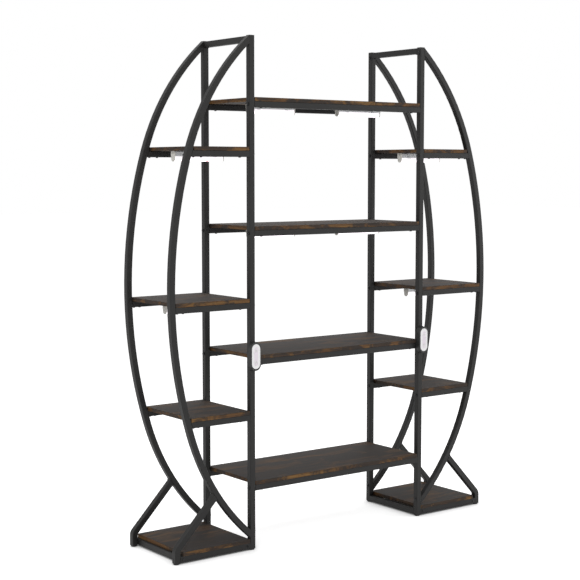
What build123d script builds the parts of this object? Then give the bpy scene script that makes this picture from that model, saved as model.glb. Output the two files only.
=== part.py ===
from build123d import *
import os
from math import acos, asin, cos, radians, sin, sqrt

# Oval plant stand of square tube with boards and grow lights.
# X runs to the right, Y to the back, Z up. The origin is on the floor below the middle.
# Each side piece is modelled at the right front and mirrored to where it goes.

# Whole stand
total_height = 1600
middle_clear_span = 682
depth = 272

# Square tube
tube = 19
tube_wall = 1
tube_corner = 2
curved_gap = 0.1

# Shelves: the upper boards' top faces are measured down from the stand's top,
# the lower ones up from the floor
upper_middle_shelf_drops = (187, 583)
lower_middle_shelf_heights = (616, 219)
upper_side_shelf_drops = (339,)
lower_side_shelf_heights = (794, 443)
board_thickness = 12
board_end_gap = 1
board_edge_round = 0.8
board_corner_round = 1.5
bottom_board_inset = 10
shelf_levels = ("top", "upper", "lower", "bottom")
lit_levels = ("top", "upper")

# Arcs: a flatter middle stretch between two tighter ends, which meet the post's outer face
arc_reach = 290
arc_mid_radius = 1465
arc_mid_half_length = 432
arc_above_bottom_board = 17.8
arc_below_top = 13.8

# Outer legs
leg_reach = 278.5
leg_lean_degrees = 43.8
leg_bend_height = 43.5
leg_bend_radius = 20
weld_radius = 3

# Spigots and threaded plugs inside the tube ends
spigot_gap = 0.2
spigot_length = 20
plug_length = 22

# M6 bolts with button heads
bolt_radius = 3
bolt_hole_gap = 0.2
bolt_thread_gap = 0.05
bolt_head_radius = 5.2
bolt_head_height = 3.2
bolt_head_edge = 1.2
bolt_socket_radius = 2
bolt_socket_depth = 1.8
bolt_engagement = 16
arc_bolt_engagement = 9
arc_bolt_rise = 5

# M4 pan-head screws for the spigots and the controllers
screw_radius = 2
screw_hole_gap = 0.2
screw_thread_gap = 0.03
screw_head_radius = 3.8
screw_head_height = 2.2
screw_head_edge = 0.8
screw_from_end = 10
screw_engagement = 8

# Wood screws that hold the boards from below
board_screw_length = 28
board_screw_from_end = 30

# Feet
pad_height = 3.8
pad_radius = 9.5
pad_round = 2.4
pad_gap = 0.2
insert_flange = 1
insert_length = 20
foot_travel = 12
stud_radius = 3
stud_bore_gap = 0.08
stud_grip = 5
stud_seat_depth = 2
stud_seat_gap = 0.02

# Caps on the posts' top ends
cap_thickness = 2
cap_plug_length = 9
cap_edge = 0.8

# Light bars
light_length = 182
light_width = 22
housing_height = 16
housing_lip = 1
light_wall = 1.2
light_corner = 1.5
light_fit_gap = 0.1
light_spacing = 362
led_recess = 5
led_board_width = 14
led_board_thickness = 1.2
led_count = 18
led_size = 2.8
led_height = 0.8
diffuser_wall = 1.4
diffuser_side = 6
diffuser_flange = 1
light_cap_thickness = 3
light_cap_rim = 0.6
light_cap_plug = 4
light_socket_radius = 2.4
light_socket_bore = 1.1
light_socket_depth = 3
clip_thickness = 1.5
clip_width = 12
clip_lip = 1
clip_from_end = 35
clip_screw_radius = 1.5
clip_screw_head_radius = 2.8
clip_screw_head_height = 1.1
clip_screw_length = 9
clip_screw_gap = 0.02

# Controllers on the front posts
controller_height = 615
controller_width = 40
controller_length = 90
controller_depth = 18
controller_round = 2
cover_side_rim = 4.5
cover_end_rim = 6.3
cover_thickness = 3
cover_gap = 0.1
cover_proud = 0.5
cover_round = 0.4
cover_ledge = 2
back_wall = 2
panel_width = 14
panel_length = 58
panel_groove_width = 0.6
panel_groove_depth = 0.4
button_radius = 4.6
button_gap = 0.3
button_proud = 0.6
button_spacing = 36
button_flange = 1
button_flange_thickness = 1
button_cover_gap = 0.3
button_travel = 0.6
button_round = 0.4
circuit_side_gap = 3
circuit_end_gap = 7
circuit_thickness = 1.6
circuit_standoff = 3.6
circuit_post_radius = 1.8
circuit_post_inset = 3
switch_size = 6
switch_gap = 0.3
controller_screw_spacing = 30
controller_screw_reach = 4
inlet_radius = 5
inlet_bore = 2.8
inlet_pin = 0.8
outlet_radius = 3.4
outlet_bore = 1.4
socket_length = 12
socket_bore_depth = 9
socket_proud = 1
socket_fit_gap = 0.1

# Worked-out sizes
half_tube = tube / 2
tube_bore = tube - 2 * tube_wall
spigot = tube_bore - 2 * spigot_gap
post_x = middle_clear_span / 2 + half_tube
post_y = depth / 2 - half_tube
post_face = post_x + half_tube
foot_height = pad_height + pad_gap + insert_flange
post_top = total_height - cap_thickness
bottom_board_height = foot_height + tube + board_thickness
middle_shelf_heights = [total_height - drop for drop in upper_middle_shelf_drops]
middle_shelf_heights += lower_middle_shelf_heights
side_shelf_heights = [total_height - drop for drop in upper_side_shelf_drops]
side_shelf_heights += lower_side_shelf_heights
bolt_hole_radius = bolt_radius + bolt_hole_gap
bolt_thread_radius = bolt_radius + bolt_thread_gap
screw_hole_radius = screw_radius + screw_hole_gap
screw_thread_radius = screw_radius + screw_thread_gap
stud_bore_radius = stud_radius + stud_bore_gap
front_reach = depth / 2 + controller_depth + cover_proud + button_proud
rear_reach = depth / 2 + screw_head_height
frame_y = (front_reach - rear_reach) / 2
arc_apex = post_x + arc_reach
leg_x = post_x + leg_reach
overrun = tube

# Arc geometry in the XZ plane. The end stretches touch the middle one without a kink,
# and their radius is the one that brings them to the post's face at the two heights.
arc_bottom = bottom_board_height + arc_above_bottom_board
arc_top = total_height - arc_below_top
arc_mid_height = (arc_bottom + arc_top) / 2
mid_angle = asin(arc_mid_half_length / arc_mid_radius)
mid_centre_x = arc_apex - arc_mid_radius
chord_x, chord_rise = post_face - mid_centre_x, arc_top - arc_mid_height
chord_along = chord_x * cos(mid_angle) + chord_rise * sin(mid_angle)
centre_offset = (arc_mid_radius**2 - chord_x**2 - chord_rise**2) / (arc_mid_radius - chord_along) / 2
arc_end_radius = arc_mid_radius - centre_offset
end_centre_x = mid_centre_x + centre_offset * cos(mid_angle)
end_centre_rise = centre_offset * sin(mid_angle)
end_angle = acos((post_face - overrun - end_centre_x) / arc_end_radius)


def mid_point(angle, offset=0):
    """Point beside the arc's middle stretch, at an angle from its centre."""
    radius = arc_mid_radius + offset
    return Vector(mid_centre_x + radius * cos(angle), 0, arc_mid_height + radius * sin(angle))


def end_point(angle, side, offset=0):
    """Point beside the arc's upper (side 1) or lower (side -1) end stretch."""
    radius = arc_end_radius + offset
    rise = end_centre_rise + radius * sin(angle)
    return Vector(end_centre_x + radius * cos(angle), 0, arc_mid_height + side * rise)


def arc_edges(offset=0):
    """Line of the right arc, or one beside it, from its lower end to its upper end."""
    between = (mid_angle + end_angle) / 2
    lower = [end_point(angle, -1, offset) for angle in (end_angle, between, mid_angle)]
    middle = [mid_point(angle, offset) for angle in (-mid_angle, 0, mid_angle)]
    upper = [end_point(angle, 1, offset) for angle in (mid_angle, between, end_angle)]
    return [ThreePointArc(*points).edge() for points in (lower, middle, upper)]


def arc_path():
    return Wire(arc_edges())


def inside_arc():
    """Block that fills the front right arc, up to a small gap from its inner face."""
    offset = -half_tube - curved_gap
    closing = Line(end_point(end_angle, 1, offset), end_point(end_angle, -1, offset)).edge()
    face = make_face(Wire([*arc_edges(offset), closing]))
    return Pos(0, -post_y, 0) * extrude(face, tube, dir=(0, 1, 0), both=True)


def square(width, corner):
    return RectangleRounded(width, width, corner)


def swept_square(path, width, corner):
    """Square bar along a path in the XZ plane."""
    start = Plane(origin=path @ 0, z_dir=path % 0, x_dir=(0, 1, 0))
    return sweep(start * square(width, corner), path=path)


def tube_along(path):
    outer = swept_square(path, tube, tube_corner)
    inner = swept_square(path, tube_bore, tube_corner - tube_wall)
    return outer - inner


def bar(start, direction, length, width, corner):
    """Straight square bar from a point."""
    side = (0, 1, 0) if Vector(*direction).Y == 0 else (1, 0, 0)
    plane = Plane(origin=start, x_dir=side, z_dir=direction)
    return extrude(plane * square(width, corner), length)


def straight_tube(start, direction, length):
    outer = bar(start, direction, length, tube, tube_corner)
    return outer - bar(start, direction, length, tube_bore, tube_corner - tube_wall)


def rod(start, direction, length, radius):
    return extrude(Plane(origin=start, z_dir=direction) * Circle(radius), length)


def headed(start, direction, length, radius, head_radius, head_height, head_edge):
    """Screw whose head sits on a face at start and whose shank runs along direction."""
    shank = rod(start, direction, length, radius)
    back = Vector(*direction) * -1
    head = rod(start, back, head_height, head_radius)
    rim = head.faces().sort_by(Axis(Vector(*start), back))[-1].edges()
    return shank + fillet(rim, head_edge)


def bolt(start, direction, length):
    body = headed(start, direction, length, bolt_radius, bolt_head_radius, bolt_head_height, bolt_head_edge)
    back = Vector(*direction) * -1
    socket_floor = Vector(*start) + back * (bolt_head_height - bolt_socket_depth)
    hexagon = Plane(origin=socket_floor, z_dir=back) * RegularPolygon(bolt_socket_radius, 6)
    return body - extrude(hexagon, bolt_socket_depth)


def frame_screw(start, direction, length):
    return headed(
        start, direction, length, screw_radius, screw_head_radius, screw_head_height, screw_head_edge
    )


def mirrored(shape, side_x, side_y):
    """Copy of a right-front shape in the corner named by the two signs."""
    copy = shape
    if side_x < 0:
        copy = mirror(copy, about=Plane.YZ)
    if side_y > 0:
        copy = mirror(copy, about=Plane.XZ)
    return copy


def corners():
    return [(side_x, side_y) for side_y in (-1, 1) for side_x in (-1, 1)]


def corner_name(side_x, side_y):
    return ("front" if side_y < 0 else "rear") + "_" + ("left" if side_x < 0 else "right")


def four(shape):
    return [mirrored(shape, side_x, side_y) for side_x, side_y in corners()]


def pair(shape):
    return [mirrored(shape, side_x, -1) for side_x in (-1, 1)]


def write(name, shapes):
    """Write one node, moved so that the origin is the middle of the whole stand's depth."""
    solids = [Pos(0, frame_y, 0) * solid for shape in shapes for solid in shape.solids()]
    whole = solids[0] if len(solids) == 1 else Compound(children=solids)
    export_step(whole, f"parts/{name}.step")


def rail_axis_height(shelf_height):
    return shelf_height - board_thickness - half_tube


def arc_inner_x(height):
    """Where the arc's inner face stands at a height."""
    rise = abs(height - arc_mid_height)
    radius = arc_mid_radius - half_tube
    if rise < radius * sin(mid_angle):
        return mid_centre_x + sqrt(radius**2 - rise**2)
    radius = arc_end_radius - half_tube
    return end_centre_x + sqrt(radius**2 - (rise - end_centre_rise) ** 2)


def side_board_end(shelf_height):
    """Outer end of a side board, clear of the arc over the board's thickness."""
    top, bottom = shelf_height, shelf_height - board_thickness
    return min(arc_inner_x(top), arc_inner_x(bottom)) - board_end_gap


def middle_rail_heights():
    return [rail_axis_height(height) for height in middle_shelf_heights]


def side_rail_heights():
    return [rail_axis_height(height) for height in side_shelf_heights]


bottom_rail_z = foot_height + half_tube
top_crossbar_z = post_top - half_tube
arc_bolt_heights = (arc_bottom + arc_bolt_rise, arc_top - arc_bolt_rise)
controller_screw_heights = [
    controller_height + side * controller_screw_spacing / 2 for side in (-1, 1)
]


def post():
    body = straight_tube((post_x, -post_y, foot_height), (0, 0, 1), post_top - foot_height)
    heights = [*middle_rail_heights(), *side_rail_heights(), *arc_bolt_heights]
    for height in heights:
        start = (post_x - tube, -post_y, height)
        body -= rod(start, (1, 0, 0), 2 * tube, bolt_hole_radius)
    return body


def front_post():
    """Post with the two screw holes for a controller in its front wall."""
    body = post()
    for height in controller_screw_heights:
        start = (post_x, -depth / 2 - overrun, height)
        body -= rod(start, (0, 1, 0), overrun + half_tube, screw_hole_radius)
    return body


def beyond_post_face(reach):
    """Block outside the post's outer face, as deep as the given reach."""
    height = 2 * total_height
    block = Box(reach, depth, height, align=(Align.MIN, Align.CENTER, Align.CENTER))
    return Pos(post_face, -post_y, arc_mid_height) * block


def leg_up():
    lean = radians(leg_lean_degrees)
    return Vector(-sin(lean), 0, cos(lean))


def leg_corner(side):
    """Where the leg's upper (side 1) or lower (side -1) face meets the arc's outer face."""
    across = Vector(leg_up().Z, 0, -leg_up().X) * side * half_tube
    centre = Vector(end_centre_x, 0, arc_mid_height - end_centre_rise)
    start = Vector(leg_x, 0, leg_bend_height) + across - centre
    along = start.dot(leg_up())
    radius = arc_end_radius + half_tube
    reach = -along - sqrt(along**2 - start.dot(start) + radius**2)
    return centre + start + leg_up() * reach


def arc():
    body = Pos(0, -post_y, 0) * tube_along(arc_path())
    return body & beyond_post_face(2 * arc_reach)


def arc_plug(height):
    """Threaded plug inside an arc's end, flat against the post's outer face."""
    core = swept_square(arc_path(), spigot, tube_corner - tube_wall)
    body = Pos(0, -post_y, 0) * core & beyond_post_face(plug_length)
    solids = ShapeList(body.solids())
    body = solids.sort_by(Axis.Z)[0 if height < arc_mid_height else -1]
    return body - rod((post_face - overrun, -post_y, height), (1, 0, 0), 2 * overrun, bolt_thread_radius)


def leg_path():
    lean = radians(leg_lean_degrees)
    setback = leg_bend_radius * (1 - cos(lean)) / sin(lean)
    corner = Vector(leg_x, 0, leg_bend_height)
    foot = Vector(leg_x, 0, foot_height)
    bend_start = corner - Vector(0, 0, setback)
    bend_end = corner + leg_up() * setback
    centre = bend_start - Vector(leg_bend_radius, 0, 0)
    bend_middle = centre + Vector(cos(lean / 2), 0, sin(lean / 2)) * leg_bend_radius
    top = bend_end + leg_up() * arc_reach
    lower = Line(foot, bend_start)
    bend = ThreePointArc(bend_start, bend_middle, bend_end)
    upper = Line(bend_end, top)
    return Wire([lower.edge(), bend.edge(), upper.edge()])


def beside_lower_arc():
    """Round block that reaches a small gap beyond the outer face of the arc's lower end."""
    centre = (end_centre_x, -post_y + tube, arc_mid_height - end_centre_rise)
    return rod(centre, (0, -1, 0), 2 * tube, arc_end_radius + half_tube + curved_gap)


def leg():
    """Outer leg, whose upper end is coped to the arc's outer face."""
    body = Pos(0, -post_y, 0) * tube_along(leg_path()) - beside_lower_arc()
    return body.solids().sort_by(Axis.Z)[0]


def leg_weld(side):
    """Weld bead in the corner above (side 1) or below (side -1) the leg's upper end."""
    length = tube - 2 * tube_corner
    start = leg_corner(side) - Vector(0, post_y + length / 2, 0)
    bead = rod(start, (0, 1, 0), length, weld_radius) - beside_lower_arc()
    foot = Vector(leg_x, -post_y, leg_bend_height)
    bead -= bar(foot, leg_up(), arc_reach, tube, tube_corner)
    return bead.solids().sort_by(Axis.X)[-1]


def board_screw_places(low_x, high_x):
    return [low_x + board_screw_from_end, high_x - board_screw_from_end]


def rail_with_screw_holes(start_x, end_x, height, board_low, board_high):
    body = straight_tube((start_x, -post_y, height), (1, 0, 0), end_x - start_x)
    for x in board_screw_places(board_low, board_high):
        body -= rod((x, -post_y, height - tube), (0, 0, 1), 2 * tube, screw_hole_radius)
    return body


def middle_board_half():
    return middle_clear_span / 2 - board_end_gap


def middle_rail(height):
    half = middle_clear_span / 2
    return rail_with_screw_holes(-half, half, height, -middle_board_half(), middle_board_half())


def side_rail(shelf_height):
    """Side rail from the post to the arc, cut to the arc's inner face."""
    height = rail_axis_height(shelf_height)
    reach = rail_with_screw_holes(
        post_face, arc_apex, height, post_face + board_end_gap, side_board_end(shelf_height)
    )
    body = reach & inside_arc()
    screw_x = arc_inner_x(height) - screw_from_end
    return body - rod((screw_x, -post_y, height - tube), (0, 0, 1), tube, screw_hole_radius)


def bottom_rail():
    """Bottom side rail, with the screw holes for its two spigots in its outer face."""
    body = rail_with_screw_holes(
        post_face, leg_x - half_tube, bottom_rail_z, post_face + board_end_gap, bottom_board_end()
    )
    for x in bottom_screw_places():
        body -= rod((x, -depth / 2 - tube, bottom_rail_z), (0, 1, 0), tube + half_tube, screw_hole_radius)
    return body


def bottom_board_end():
    return leg_x - half_tube - bottom_board_inset


def side_boards():
    """Inner end, outer end and top face of the right side boards, from the top down."""
    inner_end = post_face + board_end_gap
    spans = [(inner_end, side_board_end(top), top) for top in side_shelf_heights]
    return [*spans, (inner_end, bottom_board_end(), bottom_board_height)]


def bottom_screw_places():
    return [post_face + screw_from_end, leg_x - half_tube - screw_from_end]


def crossbar(x, z):
    """Depth-wise tube between the front and rear tubes, screwed from below near its ends."""
    length = depth - 2 * tube
    body = straight_tube((x, -length / 2, z), (0, 1, 0), length)
    for side in (-1, 1):
        start = (x, side * (length / 2 - screw_from_end), z - tube)
        body -= rod(start, (0, 0, 1), tube, screw_hole_radius)
    return body


def crossbar_places():
    outer_x = leg_x - half_tube - half_tube
    return [(post_x, top_crossbar_z), (post_x, bottom_rail_z), (outer_x, bottom_rail_z)]


def board(low_x, high_x, top):
    length = high_x - low_x
    body = extrude(
        Pos((low_x + high_x) / 2, 0, top - board_thickness)
        * RectangleRounded(length, depth, board_corner_round),
        board_thickness,
    )
    body = fillet(body.faces().sort_by(Axis.Z)[-1].edges(), board_edge_round)
    hole_depth = board_screw_length - tube
    for x in board_screw_places(low_x, high_x):
        for side in (-1, 1):
            start = (x, side * post_y, top - board_thickness)
            body -= rod(start, (0, 0, 1), hole_depth, screw_thread_radius)
    return body


def lit_board(body, light_places, top):
    """Board with the blind holes for the light clips' screws."""
    underside = top - board_thickness
    hole_depth = clip_screw_length - clip_thickness
    for light_x in light_places:
        for x in clip_places(light_x):
            radius = clip_screw_radius + clip_screw_gap
            body -= rod((x, 0, underside), (0, 0, 1), hole_depth, radius)
    return body


def board_screw(x, shelf_height):
    start = (x, -post_y, shelf_height - board_thickness - tube)
    return frame_screw(start, (0, 0, 1), board_screw_length)


def threaded_plug(face_x, direction, height):
    """Plug in a rail's end, with its face at the tube's end and a bore along the rail."""
    start = (face_x, -post_y, height)
    body = bar(start, (direction, 0, 0), plug_length, spigot, tube_corner - tube_wall)
    return body - rod(start, (direction, 0, 0), plug_length, bolt_thread_radius)


def side_spigot(shelf_height):
    """Square stub on the arc's inner face, inside the side rail's outer end."""
    height = rail_axis_height(shelf_height)
    inner_face = arc_inner_x(height)
    start = (inner_face - spigot_length, -post_y, height)
    stub = bar(start, (1, 0, 0), spigot_length + tube, spigot, tube_corner - tube_wall)
    stub &= inside_arc()
    screw_x = inner_face - screw_from_end
    return stub - rod((screw_x, -post_y, height - tube), (0, 0, 1), 2 * tube, screw_thread_radius)


def bottom_spigot(face_x, direction):
    """Stub on a post's or a leg's face, inside the bottom rail's end."""
    start = (face_x, -post_y, bottom_rail_z)
    stub = bar(start, (direction, 0, 0), spigot_length, spigot, tube_corner - tube_wall)
    screw_x = face_x + direction * screw_from_end
    hole = rod((screw_x, -post_y - tube, bottom_rail_z), (0, 1, 0), 2 * tube, screw_thread_radius)
    return stub - hole


def crossbar_spigot(x, z):
    """Stub on the inner face of a front tube, inside a crossbar's front end."""
    face_y = -depth / 2 + tube
    stub = bar((x, face_y, z), (0, 1, 0), spigot_length, spigot, tube_corner - tube_wall)
    hole = rod((x, face_y + screw_from_end, z - tube), (0, 0, 1), 2 * tube, screw_thread_radius)
    return stub - hole


def spigot_screws():
    """Screws that hold the rails and crossbars on their spigots, for one corner."""
    screws = []
    length = tube_wall + screw_engagement
    for shelf_height in side_shelf_heights:
        height = rail_axis_height(shelf_height)
        x = arc_inner_x(height) - screw_from_end
        screws.append(frame_screw((x, -post_y, height - half_tube), (0, 0, 1), length))
    for x in bottom_screw_places():
        screws.append(frame_screw((x, -depth / 2, bottom_rail_z), (0, 1, 0), length))
    for x, z in crossbar_places():
        y = -depth / 2 + tube + screw_from_end
        screws.append(frame_screw((x, y, z - half_tube), (0, 0, 1), length))
    return screws


def corner_bolts():
    """Bolts through one post: into the middle rails, the side rails and the arc."""
    outer_face, inner_face = post_x + half_tube, post_x - half_tube
    bolts = []
    for height in middle_rail_heights():
        bolts.append(bolt((outer_face, -post_y, height), (-1, 0, 0), tube + bolt_engagement))
    for height in side_rail_heights():
        bolts.append(bolt((inner_face, -post_y, height), (1, 0, 0), tube + bolt_engagement))
    for height in arc_bolt_heights:
        bolts.append(bolt((inner_face, -post_y, height), (1, 0, 0), tube + arc_bolt_engagement))
    return bolts


def corner_plugs():
    plugs = [threaded_plug(middle_clear_span / 2, -1, height) for height in middle_rail_heights()]
    plugs += [threaded_plug(post_face, 1, height) for height in side_rail_heights()]
    return plugs + [arc_plug(height) for height in arc_bolt_heights]


def foot_insert(x):
    """Plug in a tube's lower end, with a flange under the tube and a threaded bore."""
    start = (x, -post_y, foot_height)
    body = bar(start, (0, 0, 1), insert_length, spigot, tube_corner - tube_wall)
    body += bar(start, (0, 0, -1), insert_flange, tube, tube_corner)
    base = (x, -post_y, foot_height - insert_flange)
    return body - rod(base, (0, 0, 1), insert_length + insert_flange, stud_bore_radius)


def foot(x):
    """Levelling foot: a pad and the stud that screws into the insert."""
    pad = rod((x, -post_y, 0), (0, 0, 1), pad_height, pad_radius)
    pad = fillet(pad.faces().sort_by(Axis.Z)[0].edges(), pad_round)
    seat = pad_height - stud_seat_depth
    pad -= rod((x, -post_y, seat), (0, 0, 1), stud_seat_depth, stud_radius + stud_seat_gap)
    stud_length = stud_seat_depth + foot_travel + stud_grip
    stud = rod((x, -post_y, seat), (0, 0, 1), stud_length, stud_radius)
    return [pad, stud]


def post_cap():
    lid = bar((post_x, -post_y, post_top), (0, 0, 1), cap_thickness, tube, tube_corner)
    lid = fillet(lid.faces().sort_by(Axis.Z)[-1].edges(), cap_edge)
    start = (post_x, -post_y, post_top)
    return lid + bar(start, (0, 0, -1), cap_plug_length, spigot, tube_corner - tube_wall)


# Light bars run along X. Each part is built about the bar's middle, below a board's underside.
light_top = -clip_thickness
duct_top = light_top - light_wall
housing_bottom = light_top - housing_height
lip_top = housing_bottom + housing_lip
led_shelf = housing_bottom + led_recess
duct_bottom = led_shelf + light_wall
channel_length = light_length - 2 * light_cap_thickness
channel_inside = light_width - 2 * light_wall
channel_mouth = channel_inside - 2 * housing_lip
diffuser_radius = channel_mouth / 2 - light_fit_gap


def along_x(profile, length):
    """Profile in the YZ plane, extruded both ways along X."""
    return extrude(Plane.YZ * profile, length / 2, both=True)


def slab(width, low, high):
    """Rectangle in the YZ plane between two heights."""
    return Pos(0, (low + high) / 2) * Rectangle(width, high - low)


def housing_outline():
    return Pos(0, light_top - housing_height / 2) * RectangleRounded(
        light_width, housing_height, light_corner
    )


def trough(radius, top):
    """Round-bottomed profile of the diffuser, up to a height."""
    low = housing_bottom - diffuser_side
    lower_half = Rectangle(2 * radius, radius, align=(Align.CENTER, Align.MAX))
    return slab(2 * radius, low, top) + Pos(0, low) * (Circle(radius) & lower_half)


def light_housing():
    """Profile with a wire duct above, and the LED shelf between two lipped walls below."""
    duct = slab(channel_inside, duct_bottom, duct_top)
    recess = slab(channel_inside, lip_top, led_shelf)
    mouth = slab(channel_mouth, housing_bottom - housing_lip, lip_top)
    return along_x(housing_outline() - duct - recess - mouth, channel_length)


def led_board():
    low = led_shelf - led_board_thickness
    length = channel_length - 2 * light_cap_plug
    body = along_x(slab(led_board_width, low, led_shelf), length)
    pitch = length / led_count
    chips = Pos(0, 0, low - led_height) * GridLocations(pitch, pitch, led_count, 1)
    return body + [
        place * Box(led_size, led_size, led_height, align=(Align.CENTER, Align.CENTER, Align.MIN))
        for place in chips
    ]


def diffuser():
    """Cover whose flanges rest on the lips inside the housing."""
    flange_low = lip_top + light_fit_gap
    top = flange_low + diffuser_flange
    shell = trough(diffuser_radius, top) - trough(diffuser_radius - diffuser_wall, top)
    width = channel_inside - 2 * light_fit_gap
    flanges = slab(width, flange_low, top) - slab(channel_mouth - 2 * diffuser_wall, flange_low, top)
    return along_x(shell + flanges, channel_length - 2 * light_fit_gap)


def light_cap(side):
    """End cap with a tongue inside the wire duct and a socket in its outer face."""
    face_x = side * channel_length / 2
    plate = housing_outline() + trough(diffuser_radius + light_cap_rim, lip_top)
    body = extrude(Plane.YZ.offset(face_x) * plate, light_cap_thickness, dir=(side, 0, 0))
    tongue_width = channel_inside - 2 * light_fit_gap
    tongue = slab(tongue_width, duct_bottom + light_fit_gap, duct_top - light_fit_gap)
    inward = (-side, 0, 0)
    body += extrude(Plane.YZ.offset(face_x) * tongue, light_cap_plug - light_fit_gap, dir=inward)
    mouth = (face_x + side * light_cap_thickness, 0, (duct_bottom + duct_top) / 2)
    ring = rod(mouth, inward, light_socket_depth, light_socket_radius)
    pin = rod(mouth, inward, light_socket_depth, light_socket_bore)
    return body - (ring - pin)


def clip_places(light_x):
    offset = light_length / 2 - clip_from_end
    return [light_x - offset, light_x + offset]


def light_clip():
    """C-shaped clip under the board, with two lips below the housing's edges."""
    inside = light_width + 2 * light_fit_gap
    width = inside + 2 * clip_thickness
    pocket_low = housing_bottom - light_fit_gap
    height = clip_thickness - pocket_low
    outer = Pos(0, -height / 2) * RectangleRounded(width, height, light_corner)
    mouth = slab(inside - 2 * clip_lip, -height, pocket_low)
    body = along_x(outer - slab(inside, pocket_low, light_top) - mouth, clip_width)
    shank = rod((0, 0, -clip_thickness), (0, 0, 1), clip_thickness, clip_screw_radius + clip_screw_gap)
    return body - shank - clip_screw_head(clip_screw_gap)


def clip_screw_head(gap):
    """Countersunk head, flush with the clip's lower face."""
    low = Plane.XY.offset(-clip_thickness) * Circle(clip_screw_head_radius + gap)
    high = Plane.XY.offset(clip_screw_head_height - clip_thickness) * Circle(clip_screw_radius + gap)
    return loft([low.face(), high.face()], ruled=True)


def clip_screw():
    shank = rod((0, 0, -clip_thickness), (0, 0, 1), clip_screw_length, clip_screw_radius)
    return shank + clip_screw_head(0)


def light_places():
    """Middle of each light bar, at the underside of the board that it hangs from."""
    places = []
    for _, middle_top, side_top in zip(lit_levels, middle_shelf_heights, side_shelf_heights):
        for side in (-1, 1):
            places.append((side * light_spacing / 2, 0, middle_top - board_thickness))
            places.append((side * side_light_x(side_top), 0, side_top - board_thickness))
    return places


def side_light_x(shelf_height):
    return (post_face + side_board_end(shelf_height)) / 2


def at_lights(shape):
    return [Pos(*place) * shape for place in light_places()]


def at_clips(shape):
    return [Pos(x, 0, z) * shape for light_x, _, z in light_places() for x in clip_places(light_x)]


# Controllers. Each part is built about the right post's axis, in front of its front face.
controller_back = -depth / 2
controller_front = controller_back - controller_depth
cover_back = controller_front + cover_thickness
cover_width = controller_width - 2 * cover_side_rim
cover_length = controller_length - 2 * cover_end_rim
cavity_width = cover_width - 2 * cover_ledge
cavity_length = cover_length - 2 * cover_ledge
circuit_width = cavity_width - 2 * circuit_side_gap
circuit_length = controller_length - 2 * (socket_length - socket_proud + circuit_end_gap)


def capsule(width, length):
    return SlotOverall(length, width, rotation=90)


def front_extrude(profile, front_y, thickness):
    """Profile on the controller's axis, extruded back from a front plane."""
    plane = Plane(origin=(post_x, front_y, controller_height), x_dir=(1, 0, 0), z_dir=(0, -1, 0))
    return extrude(plane * profile, -thickness)


def controller_housing():
    body = front_extrude(capsule(controller_width, controller_length), controller_front, controller_depth)
    body = fillet(body.faces().sort_by(Axis.Y)[0].edges(), controller_round)
    pocket_width, pocket_length = cover_width + 2 * cover_gap, cover_length + 2 * cover_gap
    body -= front_extrude(capsule(pocket_width, pocket_length), controller_front, cover_thickness)
    cavity_depth = controller_depth - cover_thickness - back_wall
    body -= front_extrude(capsule(cavity_width, cavity_length), cover_back, cavity_depth)
    for x, z in circuit_posts():
        body += rod((x, controller_back - back_wall, z), (0, -1, 0), circuit_standoff, circuit_post_radius)
    for height in controller_screw_heights:
        body -= rod((post_x, controller_back, height), (0, -1, 0), back_wall, screw_hole_radius)
    low, high = controller_ends()
    middle_y = socket_y()
    body -= rod((post_x, middle_y, low), (0, 0, 1), socket_length, inlet_radius + socket_fit_gap)
    return body - rod((post_x, middle_y, high), (0, 0, -1), socket_length, outlet_radius + socket_fit_gap)


def controller_ends():
    half = controller_length / 2
    return controller_height - half, controller_height + half


def socket_y():
    return (cover_back + controller_back) / 2


def circuit_posts():
    half_width = circuit_width / 2 - circuit_post_inset
    half_length = circuit_length / 2 - circuit_post_inset
    return [
        (post_x + side_x * half_width, controller_height + side_z * half_length)
        for side_x in (-1, 1)
        for side_z in (-1, 1)
    ]


def button_heights():
    return {
        "power": controller_height + button_spacing / 2,
        "timer": controller_height - button_spacing / 2,
    }


def controller_cover():
    front = controller_front - cover_proud
    thickness = cover_thickness + cover_proud
    body = front_extrude(capsule(cover_width, cover_length), front, thickness)
    body = fillet(body.faces().sort_by(Axis.Y)[0].edges(), cover_round)
    groove = capsule(panel_width, panel_length) - capsule(
        panel_width - 2 * panel_groove_width, panel_length - 2 * panel_groove_width
    )
    body -= front_extrude(groove, front, panel_groove_depth)
    for height in button_heights().values():
        body -= rod((post_x, front, height), (0, 1, 0), thickness, button_radius + button_gap)
    return body


def push_button(height):
    front = controller_front - cover_proud - button_proud
    flange_front = cover_back + button_cover_gap
    face = rod((post_x, front, height), (0, 1, 0), flange_front - front, button_radius)
    face = fillet(face.faces().sort_by(Axis.Y)[0].edges(), button_round)
    radius = button_radius + button_gap + button_flange
    return face + rod((post_x, flange_front, height), (0, 1, 0), button_flange_thickness, radius)


circuit_back = controller_back - back_wall - circuit_standoff
circuit_front = circuit_back - circuit_thickness


def circuit_board():
    """Circuit board with the two switches that stand behind the buttons."""
    plane = Plane(origin=(post_x, circuit_back, controller_height), x_dir=(1, 0, 0), z_dir=(0, -1, 0))
    body = extrude(plane * Rectangle(circuit_width, circuit_length), circuit_thickness)
    button_back = cover_back + button_cover_gap + button_flange_thickness
    switch_height = circuit_front - button_back - button_travel - switch_gap
    for height in button_heights().values():
        base = Plane(origin=(post_x, circuit_front, height), x_dir=(1, 0, 0), z_dir=(0, -1, 0))
        body += extrude(base * Rectangle(switch_size, switch_size), switch_height)
    return body


def socket(end_z, direction, radius, bore, pin):
    """Round socket in one end of the housing, standing a little proud of it."""
    mouth = (post_x, socket_y(), end_z - direction * socket_proud)
    inward = (0, 0, direction)
    body = rod(mouth, inward, socket_length, radius)
    body -= rod(mouth, inward, socket_bore_depth, bore)
    return body + rod(mouth, inward, socket_bore_depth, pin) if pin else body


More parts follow.
